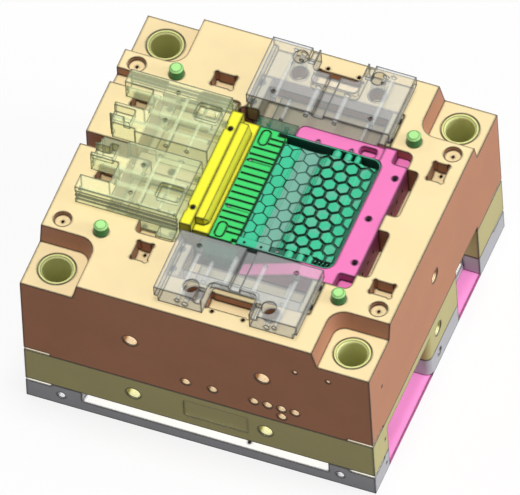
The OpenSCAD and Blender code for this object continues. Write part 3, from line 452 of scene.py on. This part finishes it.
def wrapped_faces(rows: int, columns: int) -> np.ndarray:
    """Faces of a grid that closes on itself both ways, like a ring.

    Face (i, j) joins the points (i, j), (i, j+1), (i+1, j+1), (i+1, j), counted round.

    Args:
        rows: Points round the section.
        columns: Points round the ring.

    Returns:
        One row of four point numbers per face.
    """
    row, column = np.meshgrid(np.arange(rows), np.arange(columns), indexing="ij")
    next_row = (row + 1) % rows
    next_column = (column + 1) % columns
    corners = (row * columns + column, row * columns + next_column,
        next_row * columns + next_column, next_row * columns + column)
    return np.stack([c.ravel() for c in corners], axis=1)


def turned(points: np.ndarray, centre: np.ndarray, axis: np.ndarray) -> np.ndarray:
    """Turns points from the Z axis onto another axis and moves them.

    Args:
        points: Points in the local frame.
        centre: Where the local origin goes.
        axis: Where local Z goes, of length 1.

    Returns:
        The points in the part's frame.
    """
    turn = Vector((0, 0, 1)).rotation_difference(Vector(axis)).to_matrix()
    return points @ np.array(turn).T + centre


@dataclass
class Thread:
    """The thread in one hole: a lining whose inner wall is a helix.

    Attributes:
        radius: Radius of the hole, in metres.
        length: Length of the thread, in metres.
        pitch: Advance of the helix in one turn, in metres.
        around: Points round the hole.
        per_turn: Points along one pitch.
        height: Height of a ridge as a share of the pitch.
        seat: Gap between the lining and the wall of the hole, in metres.
    """

    radius: float
    length: float
    pitch: float
    around: int = 36
    per_turn: int = 4
    height: float = 0.54
    seat: float = 0.05 * MM

    def surface(self) -> Grid:
        """The lining as a closed ring.

        Inner wall: r(u, v) = R - 3 c - h p f(v) (1 - |2 frac(v / p - u / 2 pi) - 1|), with R the
        hole's radius, p the pitch, h the height, c the seat and f a fade over the first and the last
        turn; outer wall: r = R - c.

        Returns:
            Its points and faces, with the mouth at z = 0 and the thread below it.
        """
        rows = int(round(self.length / self.pitch * self.per_turn)) + 1
        along = np.linspace(0, self.length, rows)
        angle = np.arange(self.around) / self.around * 2 * np.pi
        v, u = np.meshgrid(along, angle, indexing="ij")
        turn = v / self.pitch - u / (2 * np.pi)
        ridge = 1 - np.abs(2 * (turn - np.floor(turn)) - 1)
        fade = np.clip(np.minimum(v, self.length - v) / self.pitch, 0, 1)
        inner = self.radius - 3 * self.seat - self.height * self.pitch * ridge * fade
        outer = np.full((2, self.around), self.radius - self.seat)
        radii = np.vstack([inner, outer])
        depth = np.concatenate([along, [self.length, 0.0]])[:, None] + np.zeros((1, self.around))
        bearing = np.broadcast_to(angle, radii.shape)
        points = np.stack([radii * np.cos(bearing), radii * np.sin(bearing), -depth], axis=-1)
        return points.reshape(-1, 3), wrapped_faces(rows + 2, self.around)


@dataclass
class Hole:
    """A round hole that takes a thread.

    Attributes:
        name: Name of the hole.
        mouth: Middle of its mouth, in metres.
        axis: Direction out of the mouth.
        radius: Its radius, in metres.
    """

    name: str
    mouth: np.ndarray
    axis: np.ndarray
    radius: float


@dataclass
class Threads:
    """Threads of the lifting holes, the water ports and the ejector rod.

    Attributes:
        coarse: Pitch of a thread as a share of the hole's radius.
        finest: Smallest pitch that is drawn, in metres.
        turns: Full turns of each thread.
        lead: Plain stretch at the mouth, in metres.
        gauges: Places along X and Z of the two gauge ports in the front face, in metres.
        gauge_r: Radius of a gauge port, in metres.
        sides: Each side with its sign along X.
    """

    coarse: float = 0.2
    finest: float = 2.4 * MM
    turns: int = 11
    lead: float = 2 * MM
    gauges: tuple[tuple[float, float], ...] = ((0.285, 0.440), (0.380, 0.440))
    gauge_r: float = 7 * MM
    sides: tuple[tuple[str, int], ...] = (("left", -1), ("right", 1))

    def holes(self) -> list[Hole]:
        """Finds the threaded holes: the gauge ports and the mounts that the record states.

        A row of holes is spread along X by its spacing, and each row of the front face has one
        more hole of the same size and height in the middle of each side face.

        Returns:
            All threaded holes.
        """
        forward = np.array([0.0, -1.0, 0.0])
        found = [Hole(f"gauge_port_{x:.3f}", np.array([x, CAD_BOX[0][1], z]), forward, self.gauge_r)
            for x, z in self.gauges]
        half = (CAD_BOX[1] - CAD_BOX[0])[0] / 2
        for mount in frame["record"]["mounts"]:
            name, dims = mount["name"], mount["dims"]
            place = np.array(mount["pos_m"], dtype=float)
            axis = np.array(mount["axis"], dtype=float)
            if mount["kind"] == "bolt_pattern":
                radius = dims["hole_r_mm"] * MM
                step = np.array([dims["spacing_x_mm"] * MM / 2, 0.0, 0.0])
                found += [Hole(f"{name}_{side}", place + sign * step, axis, radius)
                    for side, sign in self.sides]
                if axis[1] < 0:
                    found += [Hole(f"{name}_side_{side}", np.array([sign * half, 0.0, place[2]]),
                        np.array([sign, 0.0, 0.0]), radius) for side, sign in self.sides]
            elif mount["kind"] == "threaded_hole":
                mouth = place + axis * dims["length_mm"] * MM / 2
                found.append(Hole(name, mouth, axis, dims["r_mm"] * MM))
            elif name.startswith("water_port"):
                found.append(Hole(name, place, axis, dims["r_mm"] * MM))
        return found

    def build(self, shop: Workshop) -> None:
        """Makes one lining for each threaded hole.

        Args:
            shop: Where finishes come from.
        """
        for hole in self.holes():
            pitch = max(self.coarse * hole.radius, self.finest)
            points, faces = Thread(hole.radius, self.turns * pitch, pitch).surface()
            surface = (turned(points, hole.mouth - hole.axis * self.lead, hole.axis), faces)
            slot = self.slot(hole.name)
            body = EJECTOR if "rod" in hole.name else BASE
            # Painted light: the lining takes the thread copy of its plate's finish, which for the plates is
            # painted lighter and gives off light.
            shop.piece("thread_" + hole.name, surface, body, slot.replace("_steel", "_thread"))

    def slot(self, name: str) -> str:
        """The finish of the plate that the hole is in, found from the hole's name."""
        for word, slot in (("box", "box_steel"), ("clamp", "clamp_steel"), ("rod", "plain_steel")):
            if word in name:
                return slot
        return "bolster_steel"


@dataclass
class MouldBase:
    """The plates, what is fixed in them and what guides the slides."""

    plates: tuple[str, ...] = ("clamp_plate", "insulation_board", "ejector_box", "bolster_plate")
    fittings: tuple[str, ...] = ("guide_bushes", "clamp_screws", "support_pillars", "rest_buttons",
        "ejector_guide_pins")
    guides: tuple[str, ...] = ("back_gibs", "front_gibs", "back_wear_plate", "front_wear_plate",
        "left_rail", "left_gibs", "left_wear_plates", "gib_screws", "left_gib_screws")
    threads: Threads = field(default_factory=Threads)

    def build(self, shop: Workshop) -> None:
        """Dresses the fixed nodes and cuts the threads."""
        for node in self.plates + self.fittings + self.guides:
            shop.dress(node)
        self.threads.build(shop)


@dataclass
class CoreAssembly:
    """The inserts that shape the housing."""

    nodes: tuple[str, ...] = ("core_insert", "honeycomb_core", "comb_core", "gate_block", "gate_strip",
        "gate_screws", "insert_screws", "core_screws")

    def build(self, shop: Workshop) -> None:
        """Dresses the cores and their screws."""
        for node in self.nodes:
            shop.dress(node)


@dataclass
class EjectorSet:
    """The plates and pins that push the moulding off."""

    nodes: tuple[str, ...] = ("ejector_base_plate", "ejector_retainer", "ejector_plate_screws",
        "ejector_guide_bushes", "return_pins", "ejector_pins")

    def build(self, shop: Workshop) -> None:
        """Dresses the moving plates and pins."""
        for node in self.nodes:
            shop.dress(node)


@dataclass
class Slides:
    """The four sliding cores."""

    nodes: tuple[str, ...] = ("back_slide", "front_slide", "back_slide_core", "front_slide_core",
        "left_slide_rear", "left_slide_front")

    def build(self, shop: Workshop) -> None:
        """Dresses the slides and the moulding faces that they carry."""
        for node in self.nodes:
            shop.dress(node)


@dataclass(frozen=True)
class Lamp:
    """A soft sun.

    Attributes:
        name: Name of the lamp.
        towards: Direction from the part to the lamp.
        level: Brightness that it gives a white face that it meets squarely.
        spread: Width of the sun in degrees.
    """

    name: str
    towards: Triple
    level: float
    spread: float

    def hang(self) -> None:
        """Adds the lamp to the scene."""
        data = bpy.data.lights.new(self.name, "SUN")
        data.energy = self.level * np.pi
        data.angle = np.radians(self.spread)
        item = bpy.data.objects.new(self.name, data)
        item.rotation_euler = Vector(self.towards).to_track_quat("Z", "Y").to_euler()
        bpy.context.collection.objects.link(item)


@dataclass
class Studio:
    """Floor, lamps, sky and camera.

    Attributes:
        right: Image-right of the parallel view, as a direction.
        up: Image-up of the view.
        mark: A corner of the recess floor that fixes the framing.
        mark_px: Where that corner lies in the picture.
        frame_px: Size of the picture.
        pixel: Size of a pixel on the part, in metres.
        far: Distance of the camera, in metres.
        sky: Level of the light from all round.
        lamps: One lamp over the part and one at its right.
        floor_half: Half the width of the floor, in metres.
        floor_dull: Grey that the floor has for the light that it throws on the part.
        floor_pale: Grey that it has to the eye, where shadows fall on it.
        floor_lit: Share of plain white over that.
    """

    right: Triple = (0.932, 0.3606, -0.0384)
    up: Triple = (-0.266, 0.7515, 0.6037)
    mark: Triple = (-0.5, 0.475, 0.490)
    mark_px: tuple[float, float] = (148.0, 15.3)
    frame_px: tuple[int, int] = (520, 495)
    pixel: float = 0.0026667
    far: float = 4.0
    sky: float = 0.27
    lamps: tuple[Lamp, ...] = (Lamp("key_lamp", (0.05, 0.05, 1.0), 0.62, 18),
        Lamp("side_lamp", (1.0, 0.10, 0.20), 0.62, 30))
    floor_half: float = 12.0
    floor_dull: float = 0.25
    floor_pale: float = 0.95
    floor_lit: float = 0.8

    def build(self) -> None:
        """Sets up the whole studio."""
        self.camera()
        for lamp in self.lamps:
            lamp.hang()
        self.world()
        self.floor()

    def camera(self) -> None:
        """Places the parallel camera so that the mark falls on its pixel."""
        right = Vector(self.right).normalized()
        up = (Vector(self.up) - right * right.dot(Vector(self.up))).normalized()
        back = right.cross(up)
        across = (self.mark_px[0] - self.frame_px[0] / 2) * self.pixel
        above = (self.frame_px[1] / 2 - self.mark_px[1]) * self.pixel
        centre = Vector(self.mark) - right * across - up * above
        data = bpy.data.cameras.new("camera")
        data.type = "ORTHO"
        data.ortho_scale = self.frame_px[0] * self.pixel
        data.clip_end = 4 * self.far
        item = bpy.data.objects.new("camera", data)
        turn = Matrix((right, up, back)).transposed().to_4x4()
        item.matrix_world = Matrix.Translation(centre + back * self.far) @ turn
        bpy.context.collection.objects.link(item)
        bpy.context.scene.camera = item

    def shown(self, graph: Graph):
        """1 for rays of the camera, of reflections and of glass; returns its socket."""
        rays = graph.add("LightPath").outputs
        mirrored = graph.math("MAXIMUM", rays["Is Glossy Ray"], rays["Is Transmission Ray"])
        return graph.math("MAXIMUM", rays["Is Camera Ray"], mirrored)

    def world(self) -> None:
        """A white sky to the eye that lights the part at a plain level."""
        graph = Graph(bpy.data.worlds.new("studio"))
        fill = graph.add("Background", {"Color": WHITE, "Strength": self.sky})
        white = graph.add("Background", {"Color": WHITE, "Strength": 1.0})
        mix = graph.add("MixShader", {0: self.shown(graph), 1: fill.outputs[0], 2: white.outputs[0]})
        graph.add("OutputWorld", {"Surface": mix.outputs[0]})
        bpy.context.scene.world = graph.owner

    def floor(self) -> None:
        """A wide white floor that keeps the part's shadow."""
        graph = Graph(bpy.data.materials.new("floor"))
        dull, pale = (graph.add("BsdfDiffuse", {"Color": (grey, grey, grey, 1)}).outputs[0]
            for grey in (self.floor_dull, self.floor_pale))
        lit = graph.add("Emission", {"Color": WHITE, "Strength": 1.0}).outputs[0]
        seen = graph.add("MixShader", {0: self.floor_lit, 1: pale, 2: lit}).outputs[0]
        both = graph.add("MixShader", {0: self.shown(graph), 1: dull, 2: seen})
        graph.add("OutputMaterial", {"Surface": both.outputs[0]})
        half = self.floor_half
        mesh = bpy.data.meshes.new("floor")
        mesh.from_pydata([(-half, -half, 0), (half, -half, 0), (half, half, 0), (-half, half, 0)], [],
            [(0, 1, 2, 3)])
        mesh.materials.append(graph.owner)
        item = bpy.data.objects.new("floor", mesh)
        bpy.context.collection.objects.link(item)


def main() -> None:
    """Builds the studio and dresses each sub-assembly in turn."""
    logging.basicConfig(level=logging.INFO, format="%(name)s: %(message)s")
    scene = bpy.context.scene
    scene.view_settings.view_transform = "Standard"
    scene.cycles.transparent_max_bounces = CLEAR_WALLS
    Studio().build()
    shop = Workshop()
    for assembly in (MouldBase(), CoreAssembly(), EjectorSet(), Slides()):
        assembly.build(shop)
        log.info("finished %s", type(assembly).__name__)


if __name__ == "__main__":
    main()
